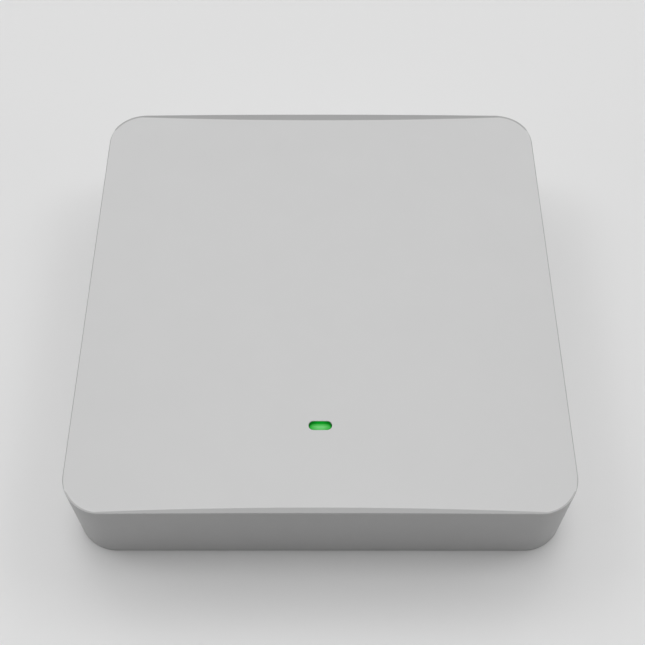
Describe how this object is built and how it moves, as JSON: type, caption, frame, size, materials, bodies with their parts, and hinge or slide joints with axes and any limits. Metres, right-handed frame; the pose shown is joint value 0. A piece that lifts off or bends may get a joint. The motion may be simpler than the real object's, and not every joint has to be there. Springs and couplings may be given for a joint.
{
  "type": "ceiling access point",
  "caption": "Square wireless access point with a flat moulded cover, cast back, connector bay, status light and a keyhole ceiling bracket with a spring latch.",
  "frame": {"origin": "middle of the bracket's underside, which lies on the ceiling", "axes": "+Z out of the face, away from the ceiling; the status light is near the -Y edge; +X to the right seen with the light at the bottom"},
  "size_m": [0.22, 0.22, 0.0455],
  "materials": {
    "cover_plastic": "moulded pale grey polycarbonate, fine even texture",
    "light_green": "green tinted clear light pipe, lit from below",
    "cast_aluminium": "die-cast, bead blasted",
    "galvanised_steel": "galvanised pressed sheet",
    "spring_steel": "spring steel strip",
    "screw_steel": "zinc plated",
    "shield_steel": "tin plated sheet",
    "brass": "plain brass",
    "gasket_rubber": "matt silicone rubber",
    "thermal_silicone": "soft filled silicone",
    "board_green": "solder mask on glass fibre",
    "chip_black": "moulded epoxy",
    "ferrite": "ferrite core and bobbin",
    "capacitor_sleeve": "shrink sleeve",
    "jack_plastic": "moulded black",
    "button_plastic": "moulded dark grey",
    "led_resin": "clear resin",
    "coax_jacket": "black jacket"
  },
  "bodies": {
    "access_point": {"front_cover": "cover_plastic", "light_pipe": "light_green", "cover_gasket": "gasket_rubber", "cover_screw_1": "screw_steel", "cover_screw_2": "screw_steel", "cover_screw_3": "screw_steel", "cover_screw_4": "screw_steel", "mount_stud_1": "screw_steel", "mount_stud_2": "screw_steel", "mount_stud_3": "screw_steel", "mount_stud_4": "screw_steel", "plate_screw_1": "screw_steel", "plate_screw_2": "screw_steel", "plate_screw_3": "screw_steel", "plate_screw_4": "screw_steel", "base_casting": "cast_aluminium", "main_board": "board_green", "processor": "chip_black", "memory_chip_1": "chip_black", "memory_chip_2": "chip_black", "radio_chip_1": "chip_black", "radio_chip_2": "chip_black", "lan_magnetics": "chip_black", "switch_body": "chip_black", "thermal_pad": "thermal_silicone", "radio_shield_1": "shield_steel", "radio_shield_2": "shield_steel", "antenna_plate": "shield_steel", "poe_jack": "shield_steel", "aux_jack": "shield_steel", "console_jack": "shield_steel", "poe_transformer": "ferrite", "bulk_capacitor_1": "capacitor_sleeve", "bulk_capacitor_2": "capacitor_sleeve", "status_led": "led_resin", "standoff_1": "brass", "standoff_2": "brass", "standoff_3": "brass", "standoff_4": "brass", "antenna_1": "brass", "antenna_2": "brass", "antenna_3": "brass", "antenna_4": "brass", "coax_connector_1": "brass", "coax_connector_2": "brass", "coax_connector_3": "brass", "coax_connector_4": "brass", "coax_1": "coax_jacket", "coax_2": "coax_jacket", "coax_3": "coax_jacket", "coax_4": "coax_jacket", "dc_jack": "jack_plastic"},
    "bracket": {"mounting_bracket": "galvanised_steel", "latch_root": "spring_steel", "latch_rivet": "screw_steel"},
    "latch": {"latch_tongue": "spring_steel"},
    "mode_button": {"mode_button": "button_plastic", "switch_plunger": "button_plastic"}
  },
  "joints": [
    {"name": "bracket_slide", "type": "slide", "parent": "access_point", "child": "bracket", "axis": [0, -1, 0], "range_m": [0, 0.012]},
    {"name": "latch_flex", "type": "hinge", "parent": "bracket", "child": "latch", "pos_m": [0, -0.02, 0.0021], "axis": [1, 0, 0], "range_deg": [0, 5.6]},
    {"name": "mode_button_press", "type": "slide", "parent": "access_point", "child": "mode_button", "axis": [0, 1, 0], "range_m": [0, 0.0005], "stiffness_N_per_m": 3000}
  ],
  "couplings": [
    {"joint": "latch_flex", "follows": "bracket_slide", "rad_per_m": 7.94}
  ]
}
